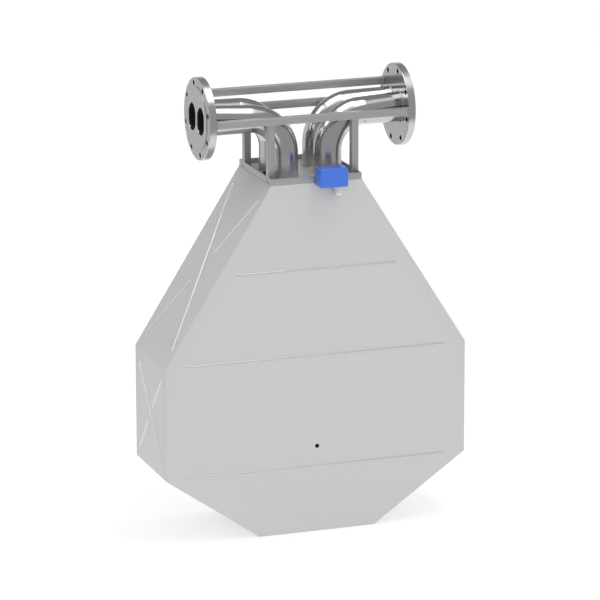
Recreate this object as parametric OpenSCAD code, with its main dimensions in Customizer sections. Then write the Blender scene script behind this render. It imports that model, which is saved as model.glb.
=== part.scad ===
// Coriolis mass flow meter with two omega-shaped measuring loops in a flat sheet-steel casing.
// X runs along the pipe line, -Y is the front with the junction box, +Z is up.
// The origin is the centre of the casing's base plate, on its underside.

/* [Process connection] */
// Length over both flange faces
face_to_face = 892; // [870:2:960]
// Height of the pipe axis above the base
axis_z = 1737; // [1730:1:1760]
// Outside diameter of a flange
flange_od = 340; // [335:1:350]
// Thickness of a flange over its raised face
flange_t = 34; // [24:1:40]
// Diameter of the raised sealing face
raised_d = 268; // [260:1:270]
// Diameter of the bolt circle
bolt_circle = 295; // [290:1:300]
// Diameter of a bolt hole
bolt_hole = 22; // [18:1:24]
// Turn of the bolt holes away from straddling the centreline, in degrees
bolt_clock = 7.7; // [0:0.1:10]

/* [Flow tubes] */
// Outside diameter of the flow tubes
tube_od = 114.3; // [108:0.1:114.3]
// Wall thickness of the flow tubes
tube_wall = 6.3; // [4:0.1:8]
// Distance between the front tube and the rear tube
tube_pitch = 140; // [136:1:144]
// Distance between the two vertical legs of one tube
leg_pitch = 188; // [184:1:200]
// Centreline radius of the elbows
bend_r = 152.4; // [140:0.1:160]
// Width of a squeezed tube mouth in the flange
mouth_w = 88; // [80:1:92]
// Height of a squeezed tube mouth in the flange
mouth_h = 113; // [100:1:120]
// Distance between the two mouths in a flange
mouth_pitch = 109; // [107:1:114]

/* [Measuring loops] */
// Angle at which a loop leaves its neck, in degrees
neck_a = 40; // [36:1:42]
// Centreline radius of the neck bends
neck_r = 200; // [180:5:220]
// Height of the centre of the round part of a loop
loop_z = 610; // [590:5:640]

/* [Casing] */
// Width of the casing at its widest
casing_w = 1306; // [1280:2:1320]
// Width of the casing at the collar
neck_w = 390; // [390:1:400]
// Width of the casing at its base
base_w = 502; // [480:1:540]
// Depth of the casing over its sheets
casing_d = 408; // [406:1:412]
// Height of the upper shoulder
shoulder_z = 757; // [740:1:780]
// Height of the lower shoulder
lower_z = 280; // [260:1:300]
// Sheet thickness
sheet = 4; // [3:0.5:5]
// Width of a stiffening bead
bead_w = 14; // [10:1:20]
// Height of a stiffening bead
bead_depth = 4; // [3:0.5:5]

/* [Collar and frame] */
// Height of the collar's upper edge
collar_z = 1509; // [1505:1:1515]
// Height of the collar
collar_h = 27; // [24:1:32]
// Depth of the collar, front to rear
collar_d = 404; // [400:1:404]
// Wall of the collar and thickness of its top plate
collar_wall = 6; // [5:1:8]
// Side of the square frame bars
bar = 30; // [26:1:32]
// Distance of the lower rails from the middle plane
rail_y = 150; // [146:1:152]
// Distance of the top rail behind the middle plane
top_rail_y = 140; // [136:1:144]
// Height of the top rail above the pipe axis
top_rail_z = 72.5; // [70:0.5:76]

/* [Junction box] */
// Width of the junction box
box_w = 120; // [110:1:130]
// Height of the junction box
box_h = 80; // [70:1:90]
// Depth of the junction box's body
box_body_d = 46; // [40:1:50]
// Depth of the junction box's lid
box_lid_d = 22.5; // [18:0.5:26]
// Place of the junction box's middle along the pipe
box_x = 51; // [40:1:60]
// Height of the junction box's middle
box_z = 1511; // [1505:1:1520]

/* [Hidden] */

$fn = 72;

STEEL = [0.72, 0.73, 0.74];
SATIN = [0.60, 0.60, 0.60];
PLATE = [0.78, 0.78, 0.77];
BOX_BLUE = [0.27, 0.44, 0.82];
COPPER = [0.72, 0.45, 0.20];
DARK = [0.08, 0.08, 0.09];

bolt_count = 8;
face_edge = 2;
raised_h = 3;
tube_id = tube_od - 2 * tube_wall;
tube_y = tube_pitch / 2;
leg_x = leg_pitch / 2;
bend_x = leg_x + bend_r;
flange_back_x = face_to_face / 2 - flange_t;
slice = 0.1;

casing_top_z = collar_z - collar_h;
plate_top_z = casing_top_z + collar_wall;
leg_bottom_z = casing_top_z - 75;
loop_straight = 60;
weld_gap = 0.002;
neck_z = leg_bottom_z - loop_straight;
neck_end_x = leg_x + neck_r * (1 - cos(neck_a));
neck_end_z = neck_z - neck_r * sin(neck_a);
loop_r = cos(neck_a) * neck_end_x + sin(neck_a) * (neck_end_z - loop_z);
run_l = (neck_end_z - loop_z - loop_r * sin(neck_a)) / cos(neck_a);

mass_bar_l = 440;
mass_bar_h = 36;
mass_bar_t = 40;
mass_bar_z = leg_bottom_z - loop_straight / 2;
clamp_r = tube_od / 2 + 9;
rod_d = 36;
drive_x = 193;
sensor_gap = 3;
sensor_d = 34;
sensor_arm = 26;
clamp_span = 4;

side_d = casing_d - 2 * sheet;
bead_r = (bead_w * bead_w / 4 + bead_depth * bead_depth) / (2 * bead_depth);
bead_rise = bead_r - bead_depth;
front_beads = [[(casing_top_z + shoulder_z) / 2, 336], [shoulder_z - 4, 550], [lower_z, 550]];
bead_gap = [0.39, 0.61];
purge_z = 367;
purge_d = 18;

box_y = -collar_d / 2 - collar_wall;
box_r = 8;
box_wall = 4;
gasket_t = 1.5;
lid_y = box_y - box_body_d - gasket_t;
screw_x = box_w / 2 - 9;
screw_z = box_h / 2 - 9;
screw_d = 5;
screw_head_d = 9;
screw_recess = 6;
screw_grip = 12;
pillar_d = 13;
duct_y = -172;
duct_od = 22;
duct_id = 18;
duct_bend = 20;
duct_z = plate_top_z + 38;
gland_x = 83;
gland_y = -236;
gland_z = box_z - box_h / 2;
gland_hex_d = 40;
gland_bore = 16;
cable_d = 10;

// Outline of one casing side, from the collar down to the base, and the faces inside it
outline = [[neck_w / 2, casing_top_z], [casing_w / 2, shoulder_z], [casing_w / 2, lower_z], [base_w / 2, 0]];
function run_dir(i) = (outline[i + 1] - outline[i]) / norm(outline[i + 1] - outline[i]);
function inward(i) = i == 3 ? [0, 1] : [run_dir(i).y, -run_dir(i).x];
function mitre(i) = outline[i] + sheet * (inward(i - 1) + inward(i)) / (1 + inward(i - 1) * inward(i));
top_inner = outline[0] + sheet * inward(0) - run_dir(0) * (sheet * inward(0).y / run_dir(0).y);
inline = [top_inner, mitre(1), mitre(2), mitre(3)];

// ---------- shared shapes ----------

// Draws a flat shape in Y and Z and pushes it along +X
module along_x(h) rotate([90, 0, 90]) linear_extrude(h) children();

// Draws a flat shape in X and Z and pushes it along -Y
module along_y(h) rotate([90, 0, 0]) linear_extrude(h) children();

module obround(w, h) {
    square([w, h - w], center = true);
    for (s = [-1, 1]) translate([0, s * (h - w) / 2]) circle(d = w);
}

module ring(od, id) difference() {
    circle(d = od);
    circle(d = id);
}

module rounded_rect(w, h, r) {
    square([w - 2 * r, h], center = true);
    square([w, h - 2 * r], center = true);
    for (x = [-1, 1], y = [-1, 1]) translate([x * (w / 2 - r), y * (h / 2 - r)]) circle(r);
}

// Square bar section with its corners broken
module bar_section() {
    c = 1.5;
    square([bar, bar - 2 * c], center = true);
    difference() {
        square([bar, bar], center = true);
        for (x = [-1, 1], y = [-1, 1])
            translate([x * bar / 2, y * bar / 2]) rotate(45) square(c * sqrt(2), center = true);
    }
}

// Part of a pipe bend about the origin in the XZ plane, from one angle to another
module bend(r, from_a, to_a, od, id)
    rotate([90, 0, 0]) rotate(from_a) rotate_extrude(angle = to_a - from_a) translate([r, 0]) ring(od, id);

// ---------- flanges ----------

// Plate flange, outer face at x = 0 and body towards +X
module flange() difference() {
    rotate([0, 90, 0]) rotate_extrude() polygon([
        [0, 0], [raised_d / 2, 0], [raised_d / 2, raised_h], [flange_od / 2 - face_edge, raised_h],
        [flange_od / 2, raised_h + face_edge], [flange_od / 2, flange_t - face_edge],
        [flange_od / 2 - face_edge, flange_t], [0, flange_t]
    ]);
    for (i = [0 : bolt_count - 1]) {
        a = 180 / bolt_count - bolt_clock + i * 360 / bolt_count;
        translate([-1, -cos(a) * bolt_circle / 2, sin(a) * bolt_circle / 2])
            rotate([0, 90, 0]) cylinder(d = bolt_hole, h = flange_t + 2);
    }
    for (s = [-1, 1]) translate([-1, s * mouth_pitch / 2, 0]) along_x(flange_t + 2) obround(mouth_w, mouth_h);
}

module inlet_flange() color(STEEL) translate([-face_to_face / 2, 0, axis_z]) flange();
module outlet_flange() color(STEEL) translate([face_to_face / 2, 0, axis_z]) rotate([0, 0, 180]) flange();

// ---------- outer tubing, drawn for the inlet and mirrored for the outlet ----------

// Loft from the squeezed mouth at the flange to the round tube at the elbow
module stub_loft(row, wall, over) hull() {
    translate([-flange_back_x - over, row * mouth_pitch / 2, axis_z])
        along_x(slice) obround(mouth_w + 2 * wall, mouth_h + 2 * wall, $fn = 64);
    translate([-bend_x + over - slice, row * tube_y, axis_z])
        along_x(slice) circle(d = tube_id + 2 * wall, $fn = 64);
}

module stub(row) color(STEEL) difference() {
    stub_loft(row, tube_wall, 0);
    stub_loft(row, 0, 1);
}

module elbow(row) color(STEEL)
    translate([-bend_x, row * tube_y, axis_z - bend_r]) bend(bend_r, 0, 90, tube_od, tube_id);

module leg(row) color(STEEL)
    translate([-leg_x, row * tube_y, leg_bottom_z])
        linear_extrude(axis_z - bend_r - leg_bottom_z) ring(tube_od, tube_id);

module outlet_side() mirror([1, 0, 0]) children();

// ---------- measuring loops, inside the casing ----------

// Half of a loop down to where the round part starts
module loop_neck() {
    translate([-leg_x, 0, neck_z]) linear_extrude(loop_straight) ring(tube_od, tube_id);
    translate([-leg_x - neck_r, 0, neck_z]) bend(neck_r, -neck_a, 0, tube_od, tube_id);
    translate([-neck_end_x, 0, neck_end_z]) rotate([0, 180 + neck_a, 0])
        linear_extrude(run_l) ring(tube_od, tube_id);
}

module measuring_loop(row) color(STEEL) translate([0, row * tube_y, 0]) {
    $fn = 48;
    loop_neck();
    mirror([1, 0, 0]) loop_neck();
    translate([0, 0, loop_z])
        bend(loop_r, 180 - neck_a + weld_gap, 360 + neck_a - weld_gap, tube_od, tube_id);
}

// Cross bar that clamps both legs of a loop and turns with it about the torsion rod
module mass_bar(row) color(SATIN) translate([0, row * tube_y, mass_bar_z]) difference() {
    union() {
        cube([mass_bar_l, mass_bar_t, mass_bar_h], center = true);
        for (s = [-1, 1]) translate([s * leg_x, 0, 0]) cylinder(r = clamp_r, h = mass_bar_h, center = true);
    }
    for (s = [-1, 1]) translate([s * leg_x, 0, 0]) cylinder(d = tube_od, h = mass_bar_h + 2, center = true);
}

// Torsion rod between the top plate and the cross bar
module torsion_rod(row) color(STEEL)
    translate([0, row * tube_y, mass_bar_z + mass_bar_h / 2])
        cylinder(d = rod_d, h = casing_top_z - mass_bar_z - mass_bar_h / 2);

// Drive coil on the front cross bar, magnet on the rear one, facing across the gap
module drive_coil(side) color(COPPER)
    translate([side * drive_x, -tube_y + mass_bar_t / 2, mass_bar_z]) rotate([-90, 0, 0])
        difference() {
            cylinder(d = sensor_d, h = tube_y - mass_bar_t / 2 + 10);
            translate([0, 0, 20]) cylinder(d = 22, h = tube_y);
        }

module drive_magnet(side) color(SATIN)
    translate([side * drive_x, tube_y - mass_bar_t / 2, mass_bar_z]) rotate([90, 0, 0]) {
        cylinder(d = sensor_d, h = tube_y - mass_bar_t / 2 - 10 - sensor_gap);
        cylinder(d = 18, h = tube_y - mass_bar_t / 2 + 12);
    }

// Clamp round the widest part of a loop with an arm that carries a coil or a magnet
module sensor_clamp(side, row) {
    a = side > 0 ? 0 : 180;
    translate([0, row * tube_y, loop_z])
        bend(loop_r, a - clamp_span / 2, a + clamp_span / 2, 2 * clamp_r, tube_od);
    translate([side * (loop_r + clamp_r + sensor_arm / 2 - 2), row * tube_y, loop_z])
        cube([sensor_arm, 16, 24], center = true);
}

module pickup_coil(side) color(COPPER) {
    sensor_clamp(side, -1);
    translate([side * (loop_r + clamp_r + sensor_arm + 2), -tube_y, loop_z]) {
        rotate([-90, 0, 0]) cylinder(d = sensor_d, h = tube_y - sensor_gap);
        rotate([90, 0, 0]) cylinder(d = sensor_d, h = 8);
    }
}

module pickup_magnet(side) color(SATIN) {
    sensor_clamp(side, 1);
    translate([side * (loop_r + clamp_r + sensor_arm + 2), tube_y, loop_z]) {
        rotate([90, 0, 0]) cylinder(d = sensor_d - 8, h = tube_y - sensor_gap);
        rotate([-90, 0, 0]) cylinder(d = sensor_d, h = 8);
    }
}

// Saddle with the resistance thermometer on the inlet leg
module temperature_sensor() color(COPPER)
    difference() {
        translate([-leg_x - tube_od / 2 - 9, -tube_y - 9, leg_bottom_z + 14]) cube([20, 18, 44]);
        translate([-leg_x, -tube_y, leg_bottom_z]) cylinder(d = tube_od, h = 80);
        translate([-leg_x - tube_od / 2 - 4, -tube_y, leg_bottom_z + 30]) cylinder(d = 5, h = 40);
    }

// ---------- collar ----------

module post_place(x, y) translate([x * (neck_w - bar) / 2, y * rail_y, plate_top_z]) children();

module collar_frame() color(SATIN) difference() {
    translate([-neck_w / 2, -collar_d / 2, casing_top_z]) cube([neck_w, collar_d, collar_h]);
    translate([-neck_w / 2 + collar_wall, -collar_d / 2 + collar_wall, casing_top_z - 1])
        cube([neck_w - 2 * collar_wall, collar_d - 2 * collar_wall, collar_h + 2]);
    for (x = [-1, 1], y = [-1, 1])
        post_place(x, y) linear_extrude(collar_h) square(bar, center = true);
}

module top_plate() color(SATIN) difference() {
    translate([-neck_w / 2 + collar_wall, -collar_d / 2 + collar_wall, casing_top_z])
        cube([neck_w - 2 * collar_wall, collar_d - 2 * collar_wall, collar_wall]);
    for (x = [-1, 1], y = [-1, 1])
        translate([x * leg_x, y * tube_y, casing_top_z - 1]) cylinder(d = tube_od, h = collar_wall + 2);
    translate([box_x, duct_y, casing_top_z - 1]) cylinder(d = duct_od, h = collar_wall + 2);
}

module vent_plug() color(DARK) translate([-172, -51, plate_top_z]) {
    cylinder(d = 16, h = 7, $fn = 6);
    cylinder(d = 9, h = 14);
    translate([0, 0, 14]) cylinder(d = 13, h = 6);
}

// ---------- casing ----------

// Round-ended body of a bead from a to b, its crest standing above the face z = 0
module bead_tool(a, b, r) {
    l = norm(b - a);
    translate([a.x, a.y, -bead_rise]) rotate(atan2(b.y - a.y, b.x - a.x)) rotate([0, 90, 0])
        rotate_extrude() intersection() {
            union() {
                circle(r);
                translate([0, l]) circle(r);
                translate([0, 0]) square([r, l]);
            }
            translate([0, -r - 1]) square([r + 1, l + 2 * r + 2]);
        }
}

// A sheet under z = 0 with beads pressed outwards: raised outside, hollow inside
module beaded(beads) difference() {
    union() {
        children();
        intersection() {
            for (b = beads) bead_tool(b[0], b[1], bead_r);
            translate([-casing_w, -casing_w * 2, -sheet / 2]) cube([casing_w * 2, casing_w * 4, 40]);
        }
    }
    translate([0, 0, -sheet / 2]) for (b = beads) bead_tool(b[0], b[1], bead_r - sheet / 2);
}

// Full outline of the front and rear sheets, X across and Y up
module face_outline() polygon(concat(outline, [for (i = [3 : -1 : 0]) [-outline[i].x, outline[i].y]]));

// Front sheet lying face up, X across and Y up the casing
module face_sheet() beaded([for (b = front_beads) [[-b[1], b[0]], [b[1], b[0]]]])
    translate([0, 0, -sheet]) linear_extrude(sheet) face_outline();

module casing_front() color(PLATE) difference() {
    translate([0, -casing_d / 2, 0]) rotate([90, 0, 0]) face_sheet();
    translate([0, 0, purge_z]) rotate([90, 0, 0]) cylinder(d = purge_d, h = casing_d);
}

module casing_rear() color(PLATE) translate([0, casing_d / 2, 0]) rotate([90, 0, 180]) face_sheet();

// Strip of the casing side between outline points i and i + 1
module side_strip(i)
    translate([0, side_d / 2, 0]) along_y(side_d)
        polygon([outline[i], outline[i + 1], inline[i + 1], inline[i]]);

// Crossed beads: one runs through, the other stops short of it on both sides
function crossed(l, margin, half_w) = let (
    p = [margin, half_w], q = [l - margin, -half_w],
    u = [margin, -half_w], v = [l - margin, half_w]
) [[p, q], [u, u + bead_gap[0] * (v - u)], [u + bead_gap[1] * (v - u), v]];

// Lays a shape drawn flat (X down the strip, Y to the rear, Z outwards) on strip i of the right side
module on_strip(i) translate([outline[i].x, 0, outline[i].y])
    rotate([0, atan2(-run_dir(i).y, run_dir(i).x), 0]) children();

module bead_side(i, margin, half_w) color(PLATE) difference() {
    l = norm(outline[i + 1] - outline[i]);
    union() {
        side_strip(i);
        on_strip(i) intersection() {
            for (b = crossed(l, margin, half_w)) bead_tool(b[0], b[1], bead_r);
            translate([0, -casing_d, -sheet / 2]) cube([l, 2 * casing_d, 40]);
        }
    }
    on_strip(i) translate([0, 0, -sheet / 2])
        for (b = crossed(l, margin, half_w)) bead_tool(b[0], b[1], bead_r - sheet / 2);
}

module upper_side() bead_side(0, 79, 165);
module middle_side() bead_side(1, 60, 150);
module lower_side() color(PLATE) side_strip(2);
module left_side() mirror([1, 0, 0]) children();

module casing_base() color(PLATE) translate([0, side_d / 2, 0]) along_y(side_d)
    polygon([outline[3], inline[3], [-inline[3].x, inline[3].y], [-outline[3].x, outline[3].y]]);

module purge_plug() color(DARK) translate([0, -casing_d / 2 + 1, purge_z]) rotate([-90, 0, 0])
    difference() {
        cylinder(d = purge_d, h = 14);
        translate([0, 0, -1]) cylinder(d = 9, h = 7, $fn = 6);
    }

// ---------- frame ----------

module post(x, y) color(SATIN) post_place(x, y)
    linear_extrude(axis_z - bar / 2 - plate_top_z) bar_section();

module rail(y, z) color(SATIN) translate([-flange_back_x, y, axis_z + z]) along_x(2 * flange_back_x) bar_section();

// ---------- junction box ----------

module cable_duct() color(SATIN) {
    translate([box_x, duct_y, casing_top_z])
        linear_extrude(duct_z - duct_bend - casing_top_z) ring(duct_od, duct_id);
    translate([box_x, duct_y - duct_bend, duct_z - duct_bend]) rotate([90, 0, 90])
        rotate_extrude(angle = 90) translate([duct_bend, 0]) ring(duct_od, duct_id);
    translate([box_x, duct_y - duct_bend, duct_z])
        along_y(duct_y - duct_bend - box_y + box_wall) ring(duct_od, duct_id);
}

module box_bracket() color(SATIN) difference() {
    translate([box_x - 45, box_y, casing_top_z + 3]) cube([90, collar_wall, 60]);
    translate([box_x, box_y + collar_wall + 1, duct_z]) along_y(collar_wall + 2) circle(d = duct_od + 2);
}

module box_corners(y) for (x = [-1, 1], z = [-1, 1])
    translate([box_x + x * screw_x, y, box_z + z * screw_z]) children();

module box_body() color(BOX_BLUE) difference() {
    translate([box_x, box_y, box_z]) along_y(box_body_d) rounded_rect(box_w, box_h, box_r);
    difference() {
        translate([box_x, box_y - box_wall, box_z]) along_y(box_body_d)
            rounded_rect(box_w - 2 * box_wall, box_h - 2 * box_wall, box_r - box_wall);
        box_corners(box_y) along_y(box_body_d) circle(d = pillar_d);
    }
    box_corners(box_y + 1) along_y(box_body_d + 2) circle(d = screw_d);
    box_corners(box_y + 1) along_y(screw_recess + 1) circle(d = screw_head_d);
    translate([box_x, box_y + 1, duct_z]) along_y(box_wall + 2) circle(d = duct_od);
    translate([gland_x, gland_y, gland_z - 1]) cylinder(d = 20, h = box_wall + 2);
}

module box_gasket() color(DARK) translate([box_x, box_y - box_body_d, box_z]) along_y(gasket_t)
    difference() {
        rounded_rect(box_w - 1, box_h - 1, box_r - 0.5);
        rounded_rect(box_w - 2 * box_wall, box_h - 2 * box_wall, box_r - box_wall);
    }

module box_lid() color(BOX_BLUE) difference() {
    hull() for (x = [-1, 1], z = [-1, 1]) {
        translate([box_x + x * (box_w / 2 - box_r), lid_y, box_z + z * (box_h / 2 - box_r)]) {
            along_y(1) circle(box_r, $fn = 32);
            translate([0, -box_lid_d + box_r, 0]) sphere(box_r, $fn = 32);
        }
    }
    difference() {
        translate([box_x, lid_y + 1, box_z]) along_y(box_lid_d - box_wall + 1)
            rounded_rect(box_w - 2 * box_wall, box_h - 2 * box_wall, box_r - box_wall);
        box_corners(lid_y + 2) along_y(box_lid_d) circle(d = pillar_d);
    }
    box_corners(lid_y + 1) along_y(screw_grip + 2) circle(d = screw_d);
}

// Screws that come through the body from its rear side, where the bracket covers them
module lid_screws() color(STEEL) box_corners(box_y) {
    translate([0, -screw_recess, 0]) along_y(box_body_d - screw_recess + gasket_t + screw_grip)
        circle(d = screw_d);
    difference() {
        translate([0, -1.5, 0]) along_y(screw_recess - 1.5) circle(d = screw_head_d);
        along_y(4) circle(d = 4.6, $fn = 6);
    }
}

// Rail-mounted terminal strip on the rear wall of the box
module terminal_block() {
    ways = 8;
    pitch = 9;
    color(SATIN) translate([box_x - 42, box_y - box_wall - 3, box_z - 14]) cube([84, 3, 16]);
    color([0.75, 0.75, 0.72]) for (i = [0 : ways - 1])
        translate([box_x - ways * pitch / 2 + i * pitch, box_y - box_wall - 29, box_z - 22]) difference() {
            cube([pitch - 0.8, 26, 32]);
            for (z = [6, 26]) translate([pitch / 2 - 0.4, 5, z]) along_y(10) circle(d = 4);
        }
}

module gland_body() color(SATIN) translate([gland_x, gland_y, gland_z]) difference() {
    union() {
        translate([0, 0, -14]) cylinder(d = gland_hex_d, h = 14, $fn = 6);
        cylinder(d = 20, h = 12);
    }
    translate([0, 0, -15]) cylinder(d = gland_bore, h = 40);
}

module gland_nut() color(STEEL) translate([gland_x, gland_y, gland_z - 14]) difference() {
    rotate_extrude() polygon([
        [0, 0], [17.5, 0], [17.5, -14], [16.5, -21], [14, -26], [11, -28], [0, -28]
    ]);
    translate([0, 0, -29]) cylinder(d = gland_bore, h = 40);
}

module gland_seal() color(DARK) translate([gland_x, gland_y, gland_z - 40]) linear_extrude(34) ring(gland_bore, cable_d);

// ---------- assembly ----------

inlet_flange();
outlet_flange();
stub(-1);  // inlet_stub_front
stub(1);  // inlet_stub_rear
outlet_side() stub(-1);  // outlet_stub_front
outlet_side() stub(1);  // outlet_stub_rear
elbow(-1);  // inlet_elbow_front
elbow(1);  // inlet_elbow_rear
outlet_side() elbow(-1);  // outlet_elbow_front
outlet_side() elbow(1);  // outlet_elbow_rear
leg(-1);  // inlet_leg_front
leg(1);  // inlet_leg_rear
outlet_side() leg(-1);  // outlet_leg_front
outlet_side() leg(1);  // outlet_leg_rear
measuring_loop(-1);  // measuring_loop_front
measuring_loop(1);  // measuring_loop_rear
torsion_rod(-1);  // torsion_rod_front
torsion_rod(1);  // torsion_rod_rear
mass_bar(-1);  // mass_bar_front
mass_bar(1);  // mass_bar_rear
drive_coil(-1);  // drive_coil_left
drive_coil(1);  // drive_coil_right
drive_magnet(-1);  // drive_magnet_left
drive_magnet(1);  // drive_magnet_right
pickup_coil(-1);  // pickup_coil_left
pickup_coil(1);  // pickup_coil_right
pickup_magnet(-1);  // pickup_magnet_left
pickup_magnet(1);  // pickup_magnet_right
temperature_sensor();
collar_frame();
top_plate();
casing_front();
casing_rear();
left_side() upper_side();  // upper_side_left
upper_side();  // upper_side_right
left_side() middle_side();  // middle_side_left
middle_side();  // middle_side_right
left_side() lower_side();  // lower_side_left
lower_side();  // lower_side_right
casing_base();
purge_plug();
vent_plug();
post(-1, -1);  // post_front_left
post(1, -1);  // post_front_right
post(-1, 1);  // post_rear_left
post(1, 1);  // post_rear_right
rail(-rail_y, 0);  // front_rail
rail(rail_y, 0);  // rear_rail
rail(top_rail_y, top_rail_z);  // top_rail
cable_duct();
box_bracket();
box_body();
box_gasket();
box_lid();
lid_screws();
terminal_block();
gland_body();
gland_nut();
gland_seal();
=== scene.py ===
import bpy
import bmesh
from math import sin, cos, asin, pi, radians, sqrt
from mathutils import Vector, Matrix


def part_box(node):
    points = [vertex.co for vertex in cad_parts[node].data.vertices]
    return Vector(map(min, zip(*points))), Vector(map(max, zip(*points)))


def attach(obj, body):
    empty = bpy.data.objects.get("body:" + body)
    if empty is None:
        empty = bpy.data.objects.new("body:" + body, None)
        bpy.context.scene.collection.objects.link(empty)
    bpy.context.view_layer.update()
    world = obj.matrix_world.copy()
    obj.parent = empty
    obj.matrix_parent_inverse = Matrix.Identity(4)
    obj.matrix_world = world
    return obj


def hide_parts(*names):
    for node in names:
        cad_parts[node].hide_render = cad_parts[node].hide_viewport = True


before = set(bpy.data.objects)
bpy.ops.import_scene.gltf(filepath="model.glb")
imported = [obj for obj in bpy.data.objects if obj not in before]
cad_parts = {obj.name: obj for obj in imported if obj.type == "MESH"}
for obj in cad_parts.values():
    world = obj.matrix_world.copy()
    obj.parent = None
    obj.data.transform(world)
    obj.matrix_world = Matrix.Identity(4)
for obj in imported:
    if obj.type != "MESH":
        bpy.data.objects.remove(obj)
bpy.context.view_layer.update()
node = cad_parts
scene = bpy.context.scene
scene.view_settings.view_transform = "Standard"

# ---------------------------------------------------------------------------
# Viewpoint: a long lens far in front, a little to the left and above, as a
# catalogue view of a tall instrument is taken.
# ---------------------------------------------------------------------------
lens = bpy.data.cameras.new("camera")
lens.sensor_width = 36.0
lens.lens = 242.37
lens.clip_end = 300.0
camera = bpy.data.objects.new("camera", lens)
scene.collection.objects.link(camera)
turn, rise, lean = -0.34072, 0.25689, -0.002315
back = Vector((sin(turn) * cos(rise), -cos(turn) * cos(rise), sin(rise)))
right = Vector((cos(turn), sin(turn), 0.0))
up = back.cross(right)
right, up = cos(lean) * right + sin(lean) * up, cos(lean) * up - sin(lean) * right
facing = Matrix((right, up, back)).transposed().to_4x4()
camera.matrix_world = Matrix.Translation((-5.4007, -15.2286, 5.1834)) @ facing
scene.camera = camera

# ---------------------------------------------------------------------------
# Studio: a white cove evenly lit from all round, a long soft box overhead to
# the right, and a wide fill low in front that polished metal does not show.
# ---------------------------------------------------------------------------
world = bpy.data.worlds.new("studio")
scene.world = world
world.use_nodes = True
tree = world.node_tree
tree.nodes.clear()
out = tree.nodes.new("ShaderNodeOutputWorld")
seen = tree.nodes.new("ShaderNodeBackground")
seen.inputs["Color"].default_value = (1, 1, 1, 1)
ambient = tree.nodes.new("ShaderNodeBackground")
ambient.inputs["Color"].default_value = (1, 1, 1, 1)
ambient.inputs["Strength"].default_value = 0.78
mix = tree.nodes.new("ShaderNodeMixShader")
ray = tree.nodes.new("ShaderNodeLightPath")
sharp_ray = ray.outputs["Is Camera Ray"]
for kind in ("Is Glossy Ray", "Is Transmission Ray"):
    either = tree.nodes.new("ShaderNodeMath")
    either.operation = "MAXIMUM"
    tree.links.new(sharp_ray, either.inputs[0])
    tree.links.new(ray.outputs[kind], either.inputs[1])
    sharp_ray = either.outputs[0]
tree.links.new(sharp_ray, mix.inputs[0])
tree.links.new(ambient.outputs[0], mix.inputs[1])
tree.links.new(seen.outputs[0], mix.inputs[2])
tree.links.new(mix.outputs[0], out.inputs["Surface"])


def soft_lamp(name, place, aim, width, height, power):
    lamp = bpy.data.lights.new(name, "AREA")
    lamp.shape = "RECTANGLE"
    lamp.size, lamp.size_y, lamp.energy = width, height, power
    holder = bpy.data.objects.new(name, lamp)
    scene.collection.objects.link(holder)
    look = Vector(aim) - Vector(place)
    holder.matrix_world = Matrix.Translation(place) @ look.to_track_quat("-Z", "Y").to_matrix().to_4x4()
    return holder


soft_lamp("overhead_softbox", (1.5, -1.6, 8.6), (1.5, -1.6, 0.0), 1.9, 6.0, 85)
front_fill = soft_lamp("front_fill", (0.3, -9.0, 1.9), (0, 0, 1.1), 6.0, 3.6, 85)
front_fill.visible_glossy = False

floor_half = 60
floor_mesh = bpy.data.meshes.new("floor")
floor_mesh.from_pydata([(floor_half * x, floor_half * y, 0) for x, y in ((-1, -1), (1, -1), (1, 1), (-1, 1))],
                       [], [(0, 1, 2, 3)])
floor = bpy.data.objects.new("floor", floor_mesh)
scene.collection.objects.link(floor)
cove = bpy.data.materials.new("white_cove")
cove.use_nodes = True
tree = cove.node_tree
tree.nodes.clear()
out = tree.nodes.new("ShaderNodeOutputMaterial")
matt = tree.nodes.new("ShaderNodeBsdfDiffuse")
matt.inputs["Color"].default_value = (0.78, 0.78, 0.78, 1)
lift = tree.nodes.new("ShaderNodeEmission")
both = tree.nodes.new("ShaderNodeAddShader")
lift.inputs["Strength"].default_value = 0.40
tree.links.new(matt.outputs[0], both.inputs[0])
tree.links.new(lift.outputs[0], both.inputs[1])
tree.links.new(both.outputs[0], out.inputs["Surface"])
floor_mesh.materials.append(cove)


# Flags round the set, seen only by polished metal: a white table below, grey walls in front, a pale floor
# and dark walls behind, nothing in front overhead, and bright panels above and at the left that draw the
# white bands on the tubes and the bright lines on the beads.
def flag_tone(name, level):
    tone = bpy.data.materials.new(name)
    tone.use_nodes = True
    tree = tone.node_tree
    tree.nodes.clear()
    out = tree.nodes.new("ShaderNodeOutputMaterial")
    glow = tree.nodes.new("ShaderNodeEmission")
    glow.inputs["Color"].default_value = (level, level, level, 1)
    tree.links.new(glow.outputs[0], out.inputs["Surface"])
    return tone


GREY, DARK, PALE, WHITE, BRIGHT = range(5)
flag_levels = (("flag_grey", 0.45), ("flag_dark", 0.31), ("flag_pale", 0.80), ("flag_white", 1.15),
               ("flag_bright", 3.0))
slices, table_r, table_z, room_r = 48, 2.6, 0.01, 40.0
panel_z, panel_x = 8.6, -12.0
bm = bmesh.new()


def flag_ring(radius, height):
    return [bm.verts.new((radius * cos(2 * pi * i / slices), radius * sin(2 * pi * i / slices), height))
            for i in range(slices)]


def flag_band(inner, outer, front_tone, rear_tone):
    for i in range(slices):
        j = (i + 1) % slices
        tone = rear_tone if i < slices / 2 else front_tone
        if tone is not None:
            bm.faces.new((inner[i], inner[j], outer[j], outer[i])).material_index = tone


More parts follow.
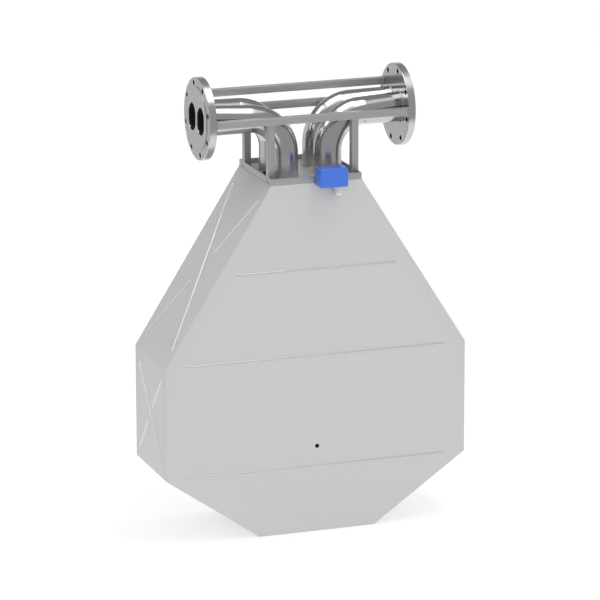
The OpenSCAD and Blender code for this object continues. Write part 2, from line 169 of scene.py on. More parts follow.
table = flag_ring(table_r, table_z)
bm.faces.new(table).material_index = WHITE
slopes = [radians(d) for d in (0, 20, 52, 65, 78, 88)]
rings = [flag_ring(room_r * cos(slope), room_r * sin(slope) + table_z) for slope in slopes]
bands = ((GREY, PALE), (GREY, PALE), (GREY, DARK), (None, DARK), (None, DARK), (None, DARK))
for inner, outer, (front_tone, rear_tone) in zip([table, *rings], rings, bands):
    flag_band(inner, outer, front_tone, rear_tone)
panels = [[(x0, y0, panel_z), (x1, y0, panel_z), (x1, y1, panel_z), (x0, y1, panel_z)]
          for x0, x1, y0, y1 in ((-3.4, 0.5, -2.6, 3.2), (-11.0, -4.2, -0.6, 4.0))]
panels.append([(panel_x, y, z) for y, z in ((2.5, 3.0), (7.0, 3.0), (7.0, 7.5), (2.5, 7.5))])
for panel in panels:
    bm.faces.new([bm.verts.new(p) for p in panel]).material_index = BRIGHT
flags_mesh = bpy.data.meshes.new("flags")
bm.to_mesh(flags_mesh)
bm.free()
for name, level in flag_levels:
    flags_mesh.materials.append(flag_tone(name, level))
flags = bpy.data.objects.new("flags", flags_mesh)
scene.collection.objects.link(flags)
flags.visible_camera = flags.visible_diffuse = flags.visible_shadow = False

# ---------------------------------------------------------------------------
# Flanges: plate flanges turned from stainless bar, with a raised sealing face,
# eight drilled and chamfered bolt holes and two milled upright mouths.
# ---------------------------------------------------------------------------
def loop(bm, points):
    return [bm.verts.new(p) for p in points]


def wall(bm, a, b):
    n = len(a)
    faces = [bm.faces.new((a[i], a[(i + 1) % n], b[(i + 1) % n], b[i])) for i in range(n)]
    for f in faces:
        f.smooth = True
    return faces


def walls(bm, rings):
    return [f for a, b in zip(rings, rings[1:]) for f in wall(bm, a, b)]


def plane_between(bm, rings):
    edges = []
    for ring in rings:
        for i, v in enumerate(ring):
            pair = (v, ring[(i + 1) % len(ring)])
            edges.append(bm.edges.get(pair) or bm.edges.new(pair))
    filled = bmesh.ops.triangle_fill(bm, use_beauty=True, use_dissolve=False, edges=edges)
    return [g for g in filled["geom"] if isinstance(g, bmesh.types.BMFace)]


def set_finish(faces, index):
    for f in faces:
        f.material_index = index


def fitted(name, bm, materials, stands_for, crease=28):
    bmesh.ops.remove_doubles(bm, verts=bm.verts, dist=1e-6)
    bmesh.ops.recalc_face_normals(bm, faces=bm.faces)
    mesh = bpy.data.meshes.new(name)
    bm.to_mesh(mesh)
    bm.free()
    for m in materials:
        mesh.materials.append(m)
    mesh.set_sharp_from_angle(angle=radians(crease))
    piece = bpy.data.objects.new(name, mesh)
    scene.collection.objects.link(piece)
    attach(piece, "root")
    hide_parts(stands_for)
    return piece


# Fine grain of a worked metal surface: streaks that vary its tint, its roughness and its relief.
metal_grain = bpy.data.node_groups.new("metal_grain", "ShaderNodeTree")
for label, kind in (("Vector", "Vector"), ("Scale", "Float"), ("Color", "Color"), ("Streaks", "Float"),
                    ("Roughness", "Float"), ("Spread", "Float"), ("Cloud Scale", "Float")):
    metal_grain.interface.new_socket(name=label, in_out="INPUT", socket_type="NodeSocket" + kind)
for label, kind in (("Color", "Color"), ("Roughness", "Float"), ("Height", "Float")):
    metal_grain.interface.new_socket(name=label, in_out="OUTPUT", socket_type="NodeSocket" + kind)
add, link = metal_grain.nodes.new, metal_grain.links.new
start, end = add("NodeGroupInput"), add("NodeGroupOutput")
fine, wide = add("ShaderNodeTexNoise"), add("ShaderNodeTexNoise")
fine.inputs["Detail"].default_value = 3.0
wide.inputs["Detail"].default_value = 2.0
shade = add("ShaderNodeMapRange")
shade.inputs["From Min"].default_value = 0.25
shade.inputs["From Max"].default_value = 0.75
darkest = add("ShaderNodeMath")
darkest.operation = "SUBTRACT"
darkest.inputs[0].default_value = 1.0
tint = add("ShaderNodeVectorMath")
tint.operation = "SCALE"
rough = add("ShaderNodeMath")
rough.operation = "MULTIPLY_ADD"
link(start.outputs["Vector"], fine.inputs["Vector"])
link(start.outputs["Scale"], fine.inputs["Scale"])
link(start.outputs["Vector"], wide.inputs["Vector"])
link(start.outputs["Cloud Scale"], wide.inputs["Scale"])
link(start.outputs["Streaks"], darkest.inputs[1])
link(fine.outputs["Fac"], shade.inputs["Value"])
link(darkest.outputs[0], shade.inputs["To Min"])
link(start.outputs["Color"], tint.inputs[0])
link(shade.outputs["Result"], tint.inputs["Scale"])
link(tint.outputs[0], end.inputs["Color"])
link(wide.outputs["Fac"], rough.inputs[0])
link(start.outputs["Spread"], rough.inputs[1])
link(start.outputs["Roughness"], rough.inputs[2])
link(rough.outputs[0], end.inputs["Roughness"])
link(fine.outputs["Fac"], end.inputs["Height"])


def finish_of(name, color, stretch=(1, 1, 1), scale=60.0, streaks=0.06, rough=0.3, spread=0.1, cloud=4.0,
              bump=0.02, metallic=1.0, turned_about=None):
    m = bpy.data.materials.new(name)
    m.use_nodes = True
    tree = m.node_tree
    link = tree.links.new
    shader = tree.nodes["Principled BSDF"]
    shader.inputs["Metallic"].default_value = metallic
    place = tree.nodes.new("ShaderNodeTexCoord")
    drawn_out = tree.nodes.new("ShaderNodeMapping")
    drawn_out.inputs["Scale"].default_value = stretch
    grain = tree.nodes.new("ShaderNodeGroup")
    grain.node_tree = metal_grain
    grain.inputs["Scale"].default_value = scale
    grain.inputs["Cloud Scale"].default_value = cloud
    grain.inputs["Color"].default_value = (*color, 1)
    grain.inputs["Streaks"].default_value = streaks
    grain.inputs["Roughness"].default_value = rough - spread / 2
    grain.inputs["Spread"].default_value = spread
    relief = tree.nodes.new("ShaderNodeBump")
    relief.inputs["Strength"].default_value = bump
    relief.inputs["Distance"].default_value = 0.001
    link(place.outputs["Object"], drawn_out.inputs["Vector"])
    if turned_about is None:
        link(drawn_out.outputs[0], grain.inputs["Vector"])
    else:
        drawn_out.inputs["Location"].default_value = tuple(-v for v in turned_about)
        drawn_out.inputs["Scale"].default_value = (0, 1, 1)
        radius = tree.nodes.new("ShaderNodeVectorMath")
        radius.operation = "LENGTH"
        rings = tree.nodes.new("ShaderNodeCombineXYZ")
        link(drawn_out.outputs[0], radius.inputs[0])
        link(radius.outputs["Value"], rings.inputs["X"])
        link(rings.outputs[0], grain.inputs["Vector"])
    link(grain.outputs["Color"], shader.inputs["Base Color"])
    link(grain.outputs["Roughness"], shader.inputs["Roughness"])
    link(grain.outputs["Height"], relief.inputs["Height"])
    link(relief.outputs[0], shader.inputs["Normal"])
    return m


flange_lo, flange_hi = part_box("inlet_flange")
axis_z = (flange_lo.z + flange_hi.z) / 2
flange_r = (flange_hi.z - flange_lo.z) / 2
face_x = -flange_lo.x
flange_t = flange_hi.x - flange_lo.x
back_x = face_x - flange_t
mouth_w, mouth_h, mouth_y = 0.088, 0.113, 0.0545
bolt_circle, bolt_r, bolt_first, bolt_count = 0.295, 0.011, 14.8, 8
raised_r, raised_h, raised_lip = 0.134, 0.003, 0.0006
rim_chamfer, mouth_chamfer, bolt_chamfer = 0.002, 0.0018, 0.0008
turned_steel = finish_of("turned_flange_steel", (0.44, 0.44, 0.44), scale=900.0, streaks=0.05, rough=0.12,
                         spread=0.03, bump=0.01, turned_about=(0, 0, axis_z))
sealing_steel = finish_of("grooved_sealing_steel", (0.50, 0.50, 0.50), scale=900.0, streaks=0.05, rough=0.50,
                          spread=0.05, bump=0.04, turned_about=(0, 0, axis_z))
rim_steel = finish_of("turned_rim_steel", (0.56, 0.56, 0.56), stretch=(6, 1, 1), scale=150.0, streaks=0.05,
                      rough=0.24, spread=0.05)
# Bore walls are painted near black and not metallic. This is a painted shade for the dark inside the deep
# mouths, tubes and bolt holes.
bore_shade_black = finish_of("bore_painted_shade", (0.012, 0.012, 0.012), scale=30.0, streaks=0.2, rough=0.5,
                       metallic=0.0)
flange_finishes = [turned_steel, bore_shade_black, rim_steel, sealing_steel]
BORE, RIM, SEALING = 1, 2, 3


def circle(r, n, cy=0.0, cz=0.0):
    return [(cy + r * cos(2 * pi * i / n), cz + r * sin(2 * pi * i / n)) for i in range(n)]


def obround(w, h, cy, n=64):
    r = w / 2
    points = []
    for i in range(n):
        t = 2 * pi * (i + 0.5) / n
        points.append((cy + r * cos(t), r * sin(t) + (h / 2 - r) * (1 if sin(t) > 0 else -1)))
    return points


def flange(end, side):
    bm = bmesh.new()

    def at(depth, points):
        return loop(bm, [(side * (face_x - depth), side * -y, axis_z + z) for y, z in points])

    face = at(0, circle(raised_r - raised_lip, 96))
    step = at(raised_h, circle(raised_r, 96))
    walls(bm, [face, at(raised_lip, circle(raised_r, 96)), step])
    ring = at(raised_h, circle(flange_r - rim_chamfer, 128))
    rear = at(flange_t, circle(flange_r - rim_chamfer, 128))
    rim = [at(depth, circle(flange_r, 128)) for depth in (raised_h + rim_chamfer, flange_t - rim_chamfer)]
    set_finish(walls(bm, [ring, *rim, rear]), RIM)
    face_rings, step_rings, rear_rings = [face], [step, ring], [rear]
    for s in (-1, 1):
        mouth = at(0, obround(mouth_w + 2 * mouth_chamfer, mouth_h + 2 * mouth_chamfer, s * mouth_y))
        end_ring = at(flange_t, obround(mouth_w, mouth_h, s * mouth_y))
        throat = at(mouth_chamfer, obround(mouth_w, mouth_h, s * mouth_y))
        wall(bm, mouth, throat)
        # The throat of the mouth takes the painted bore shade.
        set_finish(wall(bm, throat, end_ring), BORE)
        face_rings.append(mouth)
        rear_rings.append(end_ring)
    for i in range(bolt_count):
        a = radians(bolt_first + 360 * i / bolt_count)
        cy, cz = -cos(a) * bolt_circle / 2, sin(a) * bolt_circle / 2
        top, low = [at(depth, circle(bolt_r + bolt_chamfer, 32, cy, cz)) for depth in (raised_h, flange_t)]
        drilled = [at(depth, circle(bolt_r, 32, cy, cz))
                   for depth in (raised_h + bolt_chamfer, flange_t - bolt_chamfer)]
        wall(bm, top, drilled[0])
        wall(bm, drilled[1], low)
        # The drilled wall of the bolt hole takes the painted bore shade.
        set_finish(wall(bm, *drilled), BORE)
        step_rings.append(top)
        rear_rings.append(low)
    set_finish(plane_between(bm, face_rings) + plane_between(bm, step_rings), SEALING)
    plane_between(bm, rear_rings)
    return fitted(f"turned_{end}_flange", bm, flange_finishes, f"{end}_flange")


flange("inlet", -1)
flange("outlet", 1)


# ---------------------------------------------------------------------------
# Tube stubs: seamless stainless pipe, pressed at one end to the upright mouth
# and welded to the flange, round at the end that meets the elbow.
# ---------------------------------------------------------------------------
tube_od, tube_wall, tube_y, tube_sides = 0.1143, 0.0063, 0.070, 96
bend_r, leg_x = 0.1524, 0.094
bend_x = leg_x + bend_r
polished_steel = finish_of("polished_tube_steel", (0.54, 0.54, 0.55), scale=90.0, streaks=0.03, rough=0.16,
                           spread=0.03, cloud=9.0, bump=0.0)


def stub_ring(part, wall_t):
    points = []
    for i in range(tube_sides):
        t = 2 * pi * (i + 0.5) / tube_sides
        tall = (mouth_h - mouth_w) / 2 * (1 if sin(t) > 0 else -1)
        r = (mouth_w / 2 + wall_t) * (1 - part) + (tube_od / 2 - tube_wall + wall_t) * part
        x = back_x + (bend_x - back_x) * part
        y = mouth_y * (1 - part) + tube_y * part
        points.append((x, y + r * cos(t), axis_z + r * sin(t) + tall * (1 - part)))
    return points


def tube_of(name, bm, outer, inner, outside):
    walls(bm, outer)
    wall(bm, outer[0], inner[0])
    wall(bm, outer[-1], inner[-1])
    # The inside of the tube takes the painted bore shade.
    set_finish(walls(bm, inner), BORE)
    return fitted("polished_" + name, bm, [outside, bore_shade_black], name)


def stub(name, side, row):
    bm = bmesh.new()
    parts = [i / 8 for i in range(9)]
    outer = [loop(bm, [(side * x, row * y, z) for x, y, z in stub_ring(p, tube_wall)]) for p in parts]
    inner = [loop(bm, [(side * x, row * y, z) for x, y, z in stub_ring(p, 0)]) for p in parts]
    return tube_of(name, bm, outer, inner, polished_steel)


# Weld seam: a bead of filler metal laid along a path, its width rippling as the torch was moved on.
weld_seam = bpy.data.node_groups.new("weld_seam", "GeometryNodeTree")
for label, kind in (("Path", "Geometry"), ("Bead Radius", "Float"), ("Ripple Pitch", "Float"),
                    ("Ripple", "Float"), ("Unevenness", "Float"), ("Seed", "Int"), ("Finish", "Material")):
    weld_seam.interface.new_socket(name=label, in_out="INPUT", socket_type="NodeSocket" + kind)
weld_seam.interface.new_socket(name="Seam", in_out="OUTPUT", socket_type="NodeSocketGeometry")
add, link = weld_seam.nodes.new, weld_seam.links.new


def reckon(operation, *values):
    n = add("ShaderNodeMath")
    n.operation = operation
    for i, v in enumerate(values):
        if isinstance(v, float):
            n.inputs[i].default_value = v
        else:
            link(v, n.inputs[i])
    return n.outputs[0]


given = add("NodeGroupInput")
path = add("GeometryNodeMeshToCurve")
steps = add("GeometryNodeResampleCurve")
steps.mode = "LENGTH"
run = add("GeometryNodeSplineParameter")
chance = add("FunctionNodeRandomValue")
chance.data_type = "FLOAT"
section = add("GeometryNodeCurvePrimitiveCircle")
section.inputs["Resolution"].default_value = 8
laid = add("GeometryNodeCurveToMesh")
laid.inputs["Fill Caps"].default_value = True
single, painted, rounded_off, seam = (add("GeometryNodeRealizeInstances"), add("GeometryNodeSetMaterial"),
                                      add("GeometryNodeSetShadeSmooth"), add("NodeGroupOutput"))
link(given.outputs["Path"], path.inputs["Mesh"])
link(path.outputs["Curve"], steps.inputs["Curve"])
link(reckon("DIVIDE", given.outputs["Ripple Pitch"], 4.0), steps.inputs["Length"])
angle = reckon("DIVIDE", reckon("MULTIPLY", run.outputs["Length"], 2 * pi), given.outputs["Ripple Pitch"])
wave = reckon("SINE", angle)
link(reckon("MULTIPLY", given.outputs["Unevenness"], -1.0), chance.inputs[2])
link(given.outputs["Unevenness"], chance.inputs[3])
link(given.outputs["Seed"], chance.inputs["Seed"])
swell = reckon("ADD", reckon("MULTIPLY_ADD", wave, given.outputs["Ripple"], 1.0), chance.outputs[1])
link(given.outputs["Bead Radius"], section.inputs["Radius"])
link(steps.outputs["Curve"], laid.inputs["Curve"])
link(section.outputs["Curve"], laid.inputs["Profile Curve"])
link(swell, laid.inputs["Scale"])
link(laid.outputs["Mesh"], rounded_off.inputs["Geometry"])
link(rounded_off.outputs["Geometry"], single.inputs["Geometry"])
link(single.outputs["Geometry"], painted.inputs["Geometry"])
link(given.outputs["Finish"], painted.inputs["Material"])
link(painted.outputs["Geometry"], seam.inputs["Seam"])
weld_steel = finish_of("brushed_weld_steel", (0.50, 0.49, 0.47), scale=400.0, streaks=0.12, rough=0.36,
                       spread=0.08, metallic=0.8)


def weld(name, runs, radius, seed, pitch=0.005, ripple=0.14, filler=weld_steel):
    mesh = bpy.data.meshes.new(name + "_path")
    points, edges = [], []
    for line in runs:
        n = len(points)
        points += [tuple(p) for p in line]
        edges += [(n + i, n + (i + 1) % len(line)) for i in range(len(line))]
    mesh.from_pydata(points, edges, [])
    laying = bpy.data.objects.new(name + "_path", mesh)
    scene.collection.objects.link(laying)
    torch = laying.modifiers.new("weld_seam", "NODES")
    torch.node_group = weld_seam
    values = {"Bead Radius": radius, "Ripple Pitch": pitch, "Ripple": ripple, "Unevenness": 0.04,
              "Seed": seed, "Finish": filler}
    for item in weld_seam.interface.items_tree:
        if item.in_out == "INPUT" and item.name in values:
            torch[item.identifier] = values[item.name]
    done = laying.evaluated_get(bpy.context.evaluated_depsgraph_get())
    bead = bpy.data.objects.new(name, bpy.data.meshes.new_from_object(done))
    bpy.data.objects.remove(laying)
    scene.collection.objects.link(bead)
    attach(bead, "root")
    return bead


stub_ends = [[(side * x, row * y, z) for x, y, z in stub_ring(0, tube_wall)]
             for side in (-1, 1) for row in (-1, 1)]
weld("weld_stub_to_flange", stub_ends, 0.0030, seed=3)


# ---------------------------------------------------------------------------
# Elbows and legs: long-radius elbows of the same pipe, butt welded to the
# stubs and ground flush, and legs that pass through the top plate into the
# casing, polished at the top and left satin where they were ground at the foot.
# ---------------------------------------------------------------------------
leg_lo, leg_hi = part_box("inlet_leg_front")
plate_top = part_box("top_plate")[1].z
polish, satin_foot, foot_sheen = 0.16, 0.42, 0.7
leg_steel = finish_of("satin_leg_steel", (0.56, 0.56, 0.57), scale=90.0, streaks=0.03, rough=polish,
                      spread=0.03, cloud=9.0, bump=0.0)
tree = leg_steel.node_tree
height = tree.nodes.new("ShaderNodeSeparateXYZ")
tree.links.new(tree.nodes["Texture Coordinate"].outputs["Object"], height.inputs[0])
for socket, foot, head in (("Roughness", satin_foot, polish), ("Metallic", foot_sheen, 1.0)):
    satin = tree.nodes.new("ShaderNodeMapRange")
    satin.inputs["From Min"].default_value = plate_top
    satin.inputs["From Max"].default_value = leg_hi.z
    satin.inputs["To Min"].default_value = foot
    satin.inputs["To Max"].default_value = head
    tree.links.new(height.outputs["Z"], satin.inputs["Value"])
    tree.links.new(satin.outputs["Result"], tree.nodes["Principled BSDF"].inputs[socket])


def pipe(name, spine, side, row, outside):
    bm = bmesh.new()

    def at(point, along, r, n=72):
        x, z = point
        across = (-along[1], along[0])
        return loop(bm, [(side * (x + across[0] * r * sin(t)), row * (tube_y + r * cos(t)),
                          z + across[1] * r * sin(t)) for t in (2 * pi * i / n for i in range(n))])

    outer = [at(p, d, tube_od / 2) for p, d in spine]
    inner = [at(p, d, tube_od / 2 - tube_wall) for p, d in spine]
    return tube_of(name, bm, outer, inner, outside)


elbow_spine = []
for i in range(25):
    a = radians(90 - 90 * i / 24)
    elbow_spine.append(((bend_x - bend_r * cos(a), axis_z - bend_r + bend_r * sin(a)), (-sin(a), -cos(a))))
leg_spine = [((leg_x, leg_hi.z - (leg_hi.z - leg_lo.z) * i / 4), (0.0, -1.0)) for i in range(5)]
for end, side in (("inlet", -1), ("outlet", 1)):
    for place, row in (("front", -1), ("rear", 1)):
        stub(f"{end}_stub_{place}", side, row)
        pipe(f"{end}_elbow_{place}", elbow_spine, side, row, polished_steel)
        pipe(f"{end}_leg_{place}", leg_spine, side, row, leg_steel)


def leg_foot(side, row):
    return [(side * leg_x + x, row * tube_y + y, plate_top) for x, y in circle(tube_od / 2, tube_sides)]


leg_feet = [leg_foot(side, row) for side in (-1, 1) for row in (-1, 1)]
weld("weld_leg_to_plate", leg_feet, 0.0032, seed=9)


# ---------------------------------------------------------------------------
# Collar and top plate: a welded frame of flat bar round the neck of the casing
# with a plate let into it, ground after welding, and the bracket of the box.
# ---------------------------------------------------------------------------
bar_steel = finish_of("ground_bar_steel", (0.42, 0.42, 0.42), stretch=(1, 6, 6), scale=60.0, streaks=0.03,
                      rough=0.38, spread=0.06, metallic=0.5)
post_steel = finish_of("ground_post_steel", (0.40, 0.40, 0.40), stretch=(6, 6, 1), scale=60.0, streaks=0.03,
                       rough=0.38, spread=0.06, metallic=0.5)
plate_steel = finish_of("rolled_plate_steel", (0.60, 0.60, 0.60), stretch=(1, 4, 4), scale=70.0, streaks=0.08,
                        rough=0.40, spread=0.08, metallic=0.2)
largest_rounding = 6e-5


def eased(name, cad_name, material, width):
    bm = bmesh.new()
    bm.from_mesh(node[cad_name].data)
    bmesh.ops.remove_doubles(bm, verts=bm.verts, dist=2e-6)
    bmesh.ops.dissolve_limit(bm, angle_limit=radians(1.0), verts=bm.verts, edges=bm.edges)
    sharp = [e for e in bm.edges if len(e.link_faces) == 2 and e.calc_face_angle(0) > radians(35)]
    bmesh.ops.bevel(bm, geom=sharp, offset=width, segments=2, profile=0.5, affect="EDGES", clamp_overlap=True)
    for f in bm.faces:
        f.smooth = f.calc_area() < largest_rounding
    return fitted(name, bm, [material], cad_name)


def coat(names, material):
    for name in names:
        node[name].data.materials.clear()
        node[name].data.materials.append(material)


eased("ground_collar_frame", "collar_frame", bar_steel, width=0.0012)
eased("bent_box_bracket", "box_bracket", plate_steel, width=0.0006)
coat(["top_plate"], plate_steel)

# ---------------------------------------------------------------------------
# Frame: four posts stand on the top plate and carry the two lower rails, and a
# third rail runs higher at the rear; all are square bar between the flanges.
# ---------------------------------------------------------------------------
rails = ("front_rail", "rear_rail", "top_rail")
posts = [f"post_{row}_{side}" for row in ("front", "rear") for side in ("left", "right")]
for names, material in ((rails, bar_steel), (posts, post_steel)):
    for name in names:
        eased("ground_" + name, name, material, width=0.0015)


def round_post(lo, hi, height):
    return [(lo.x, lo.y, height), (hi.x, lo.y, height), (hi.x, hi.y, height), (lo.x, hi.y, height)]


def round_rail(lo, hi, x):
    return [(x, lo.y, lo.z), (x, hi.y, lo.z), (x, hi.y, hi.z), (x, lo.y, hi.z)]


post_ends = [round_post(lo, hi, z) for lo, hi in map(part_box, posts) for z in (lo.z, hi.z)]
rail_ends = [round_rail(lo, hi, x) for lo, hi in map(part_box, rails) for x in (lo.x, hi.x)]
weld("weld_posts", post_ends, 0.0024, seed=11)
weld("weld_rails", rail_ends, 0.0024, seed=13)

# ---------------------------------------------------------------------------
# Casing: eight-sided box of stainless sheet with beads pressed out to stiffen
# it, welded along its edges and bead blasted to an even matt grey.
# ---------------------------------------------------------------------------
blasted_sheet = finish_of("blasted_sheet", (0.56, 0.56, 0.55), scale=500.0, streaks=0.03, rough=0.46,
                          spread=0.06, cloud=2.5, bump=0.03, metallic=0.0)
blasted_sheet.node_tree.nodes["Principled BSDF"].inputs["Specular IOR Level"].default_value = 0.3
# The side beads take a lighter, shinier copy of the blasted sheet. Partly it is a real gloss, and partly a
# painted highlight that draws bright lines along the beads.
bead_painted_highlight = finish_of("bead_painted_highlight", (0.62, 0.62, 0.61), scale=300.0, streaks=0.04, rough=0.30,
                           spread=0.04, metallic=0.6)
pressed_bead = finish_of("pressed_bead", (0.57, 0.57, 0.56), scale=500.0, streaks=0.03, rough=0.26,
                         spread=0.04, metallic=0.35)
BEAD = 1
front_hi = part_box("casing_front")[1]
side_lo, side_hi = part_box("middle_side_right")
casing_top, shoulder_z, lower_z = front_hi.z, side_hi.z, side_lo.z
half_w = front_hi.x
half_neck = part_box("collar_frame")[1].x
half_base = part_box("casing_base")[1].x
half_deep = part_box("lower_side_right")[1].y
sheet, sheet_edge = 0.004, 0.0015
rear_y = half_deep + sheet
front_y = -rear_y
bead_w, bead_h, bead_fillet, bead_arc = 0.014, 0.004, 0.002, 12
outline = [(half_neck, casing_top), (half_w, shoulder_z), (half_w, lower_z), (half_base, 0.0)]
whole = outline[::-1] + [(-x, z) for x, z in outline]


def inset(points, d):
    result = []
    n = len(points)
    for i in range(n):
        p, q, r = Vector(points[i - 1]), Vector(points[i]), Vector(points[(i + 1) % n])
        a, b = (q - p).normalized(), (r - q).normalized()
        na, nb = Vector((-a.y, a.x)), Vector((-b.y, b.x))
        result.append(q + d * (na + nb) / (1 + na.dot(nb)))
    return result


def bead_profile():
    crown = (bead_w ** 2 / 4 + bead_h ** 2) / (2 * bead_h)
    drop = crown - bead_h
    foot = sqrt((crown + bead_fillet) ** 2 - (drop + bead_fillet) ** 2)
    steepest = asin(foot / (crown + bead_fillet))
    steps = []
    for i in range(5):
        t = steepest * i / 4
        steps.append((foot - bead_fillet * sin(t), bead_fillet * (1 - cos(t))))
    for i in range(1, 10):
        t = steepest * (1 - i / 10)
        steps.append((crown * sin(t), crown * cos(t) - drop))
    return steps


def press_bead(bm, at, a, b):
    a, b = Vector(a), Vector(b)
    along = (b - a).normalized()
    across = Vector((-along.y, along.x))
    rings = []
    for r, h in bead_profile():
        points = []
        for centre, flip in ((b, 1), (a, -1)):
            for i in range(bead_arc + 1):
                t = pi * i / bead_arc - pi / 2
                points.append(centre + flip * r * (cos(t) * along + sin(t) * across))
        rings.append(at(points, h))
    set_finish(walls(bm, rings), BEAD)
    crown, last = rings[-1], 2 * bead_arc + 1
    for i in range(bead_arc):
        strip = bm.faces.new((crown[i], crown[i + 1], crown[last - i - 1], crown[last - i]))
        strip.smooth, strip.material_index = True, BEAD
    return rings[0]


def beaded_sheet(name, flat, beads, place, bead_finish, hole=None):
    bm = bmesh.new()

    def at(points, h):
        return loop(bm, [place(p[0], p[1], h) for p in points])

    slight = sheet_edge * 0.3
    rings = [at(inset(flat, sheet_edge), 0.0), at(inset(flat, slight), -slight), at(flat, -sheet_edge),
             at(flat, -sheet)]
    walls(bm, rings)
    over = [rings[0], *(press_bead(bm, at, a, b) for a, b in beads)]
    under = [rings[-1]]
    if hole:
        cx, cz, r, chamfer = hole
        bore = [at(circle(wide, 40, cx, cz), -deep)
                for wide, deep in ((r + chamfer, 0.0), (r, chamfer), (r, sheet))]
        walls(bm, bore)
        over.append(bore[0])
        under.append(bore[-1])
    plane_between(bm, over)
    plane_between(bm, under)
    return fitted("blasted_" + name, bm, [blasted_sheet, bead_finish], name, crease=40)


short_bead, long_bead, under_shoulder, broken_at = 0.336, 0.550, 0.004, 0.39
plug_seat = (0.0, 0.367, 0.009, 0.001)
heights = (((casing_top + shoulder_z) / 2, short_bead), (shoulder_z - under_shoulder, long_bead),
           (lower_z, long_bead))
level_beads = [((-half, z), (half, z)) for z, half in heights]
beaded_sheet("casing_front", whole, level_beads, lambda x, z, h: (x, front_y - h, z), pressed_bead, plug_seat)
beaded_sheet("casing_rear", whole, level_beads, lambda x, z, h: (x, rear_y + h, z), pressed_bead)


# An upper or upright side has two crossed beads: one runs through and the other is broken where they meet.
def side_sheet(name, i, side, margin=None, spread=0.0):
    a, b = Vector(outline[i]), Vector(outline[i + 1])
    along = (b - a).normalized()
    outwards = Vector((-along.y, along.x))
    length = (b - a).length
    flat = [(0, -half_deep), (length, -half_deep), (length, half_deep), (0, half_deep)]
    beads = []
    if margin:
        u, v = Vector((margin, -spread)), Vector((length - margin, spread))
        beads = [((margin, spread), (length - margin, -spread)),
                 (u, u.lerp(v, broken_at)), (u.lerp(v, 1 - broken_at), v)]

    def place(s, y, h):
        p = a + along * s + outwards * h
        return (side * p.x, y, p.y)

    # The beads of the side sheets carry the painted highlight finish.
    return beaded_sheet(name, flat, beads, place, bead_painted_highlight)


for side, end in ((-1, "left"), (1, "right")):
    side_sheet("upper_side_" + end, 0, side, margin=0.079, spread=0.165)
    side_sheet("middle_side_" + end, 1, side, margin=0.060, spread=0.150)
    side_sheet("lower_side_" + end, 2, side)
coat(["casing_base"], blasted_sheet)
seam_r, seam_sunk, seam_lowest = 0.0012, 0.0005, 0.0014
seam_runs = [[(x, y, max(z, seam_lowest)) for x, z in inset(whole, seam_sunk)]
             for y in (-half_deep, half_deep)]
weld("weld_casing_faces", seam_runs, seam_r, seed=15, pitch=0.006, ripple=0.08,
     filler=blasted_sheet)

# ---------------------------------------------------------------------------
# Plugs: a black purge plug screwed into the front sheet and a small vent plug
# with a hexagon foot on the top plate.
# ---------------------------------------------------------------------------
black_plug = finish_of("black_plug", (0.006, 0.006, 0.006), scale=200.0, streaks=0.2, rough=0.9, metallic=0.0)
eased("moulded_purge_plug", "purge_plug", black_plug, width=0.0006)
eased("moulded_vent_plug", "vent_plug", black_plug, width=0.0005)

# ---------------------------------------------------------------------------
# Junction box: die-cast body and lid in blue gloss paint, held by four screws
# from the rear, with a rubber gasket between them, a terminal block inside, a
# bent duct for the wires and a nickel-plated cable gland.
# ---------------------------------------------------------------------------
body_lo, body_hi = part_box("box_body")
lid_lo, lid_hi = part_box("box_lid")
box_x, box_z = (body_lo.x + body_hi.x) / 2, (body_lo.z + body_hi.z) / 2
box_w, box_h = body_hi.x - body_lo.x, body_hi.z - body_lo.z
corner_r, box_edge, rear_edge = 0.008, 0.0006, 0.001
blue_paint = finish_of("blue_gloss_paint", (0.056, 0.172, 0.68), scale=350.0, streaks=0.03, rough=0.32,
                       spread=0.04, cloud=20.0, metallic=0.0)
primer = finish_of("dark_blue_primer", (0.016, 0.024, 0.07), scale=300.0, streaks=0.1, rough=0.6,
                   metallic=0.0)
PRIMED = 1
lacquer = blue_paint.node_tree.nodes["Principled BSDF"]
lacquer.inputs["Coat Weight"].default_value = 0.1
lacquer.inputs["Specular IOR Level"].default_value = 0.35
lacquer.inputs["Coat Roughness"].default_value = 0.08
lacquer.inputs["Coat IOR"].default_value = 1.6


def box_ring(bm, y, inset_by, r):
    half_x, half_z = box_w / 2 - inset_by - r, box_h / 2 - inset_by - r
    points = []
    for k, (sx, sz) in enumerate(((1, 1), (-1, 1), (-1, -1), (1, -1))):
        for i in range(9):
            t = radians(90 * k + 90 * i / 8)
            points.append((box_x + sx * half_x + r * cos(t), y, box_z + sz * half_z + r * sin(t)))
    return loop(bm, points)


def cast_lid():
    bm = bmesh.new()
    rings = [box_ring(bm, lid_hi.y, box_edge, corner_r - box_edge),
             box_ring(bm, lid_hi.y - box_edge, 0, corner_r)]
    for i in range(9):
        t = radians(90 * i / 8)
        rings.append(box_ring(bm, lid_lo.y + corner_r - corner_r * sin(t), corner_r * (1 - cos(t)),
                              max(0.0002, corner_r * cos(t))))
    walls(bm, rings)
    bm.faces.new(rings[0])
    bm.faces.new(list(reversed(rings[-1])))
    return fitted("cast_box_lid", bm, [blue_paint], "box_lid")


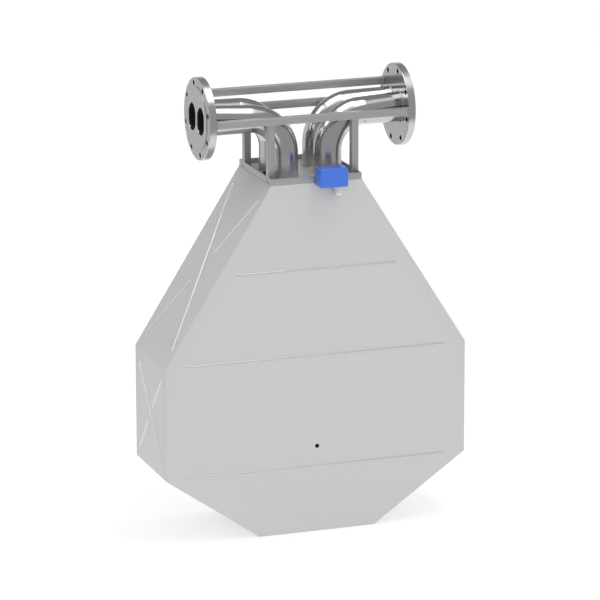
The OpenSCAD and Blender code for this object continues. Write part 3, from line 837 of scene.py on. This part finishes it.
def cast_body():
    bm = bmesh.new()
    slight = rear_edge * 0.3
    rings = [box_ring(bm, body_hi.y, rear_edge, corner_r - rear_edge),
             box_ring(bm, body_hi.y - slight, slight, corner_r - slight),
             box_ring(bm, body_hi.y - rear_edge, 0, corner_r),
             box_ring(bm, body_lo.y + box_edge, 0, corner_r),
             box_ring(bm, body_lo.y, box_edge, corner_r - box_edge)]
    walls(bm, rings)
    bm.faces.new(rings[0]).material_index = PRIMED
    bm.faces.new(list(reversed(rings[-1])))
    return fitted("cast_box_body", bm, [blue_paint, primer], "box_body")


cast_lid()
cast_body()
rubber = finish_of("black_rubber", (0.018, 0.018, 0.02), scale=300.0, streaks=0.15, rough=0.7, metallic=0.0)
nickel = finish_of("nickel_plate", (0.66, 0.66, 0.64), scale=120.0, streaks=0.05, rough=0.34, spread=0.06,
                   metallic=0.3)
grey_plastic = finish_of("grey_terminal_plastic", (0.55, 0.55, 0.52), scale=200.0, streaks=0.06, rough=0.5,
                         metallic=0.0)
coat(["box_gasket", "gland_seal"], rubber)
coat(["cable_duct", "lid_screws"], bar_steel)
coat(["terminal_block"], grey_plastic)
eased("nickel_gland_body", "gland_body", nickel, width=0.0006)
eased("nickel_gland_nut", "gland_nut", nickel, width=0.0005)

# ---------------------------------------------------------------------------
# Works inside the casing: measuring loops of drawn tube, ground cross bars and
# torsion rods, potted coils, magnets and the thermometer saddle.
# ---------------------------------------------------------------------------
drawn_tube = finish_of("drawn_tube_steel", (0.55, 0.55, 0.55), scale=80.0, streaks=0.08, rough=0.22)
copper = finish_of("potted_copper", (0.30, 0.12, 0.05), scale=200.0, streaks=0.3, rough=0.4, metallic=0.3)
magnet = finish_of("magnet_steel", (0.45, 0.46, 0.48), scale=120.0, streaks=0.1, rough=0.3)
brass = finish_of("sensor_brass", (0.70, 0.50, 0.22), scale=90.0, streaks=0.1, rough=0.35)
coat(["measuring_loop_front", "measuring_loop_rear"], drawn_tube)
coat(["torsion_rod_front", "torsion_rod_rear", "mass_bar_front", "mass_bar_rear"], bar_steel)
for end in ("left", "right"):
    coat([f"drive_coil_{end}", f"pickup_coil_{end}"], copper)
    coat([f"drive_magnet_{end}", f"pickup_magnet_{end}"], magnet)
coat(["temperature_sensor"], brass)
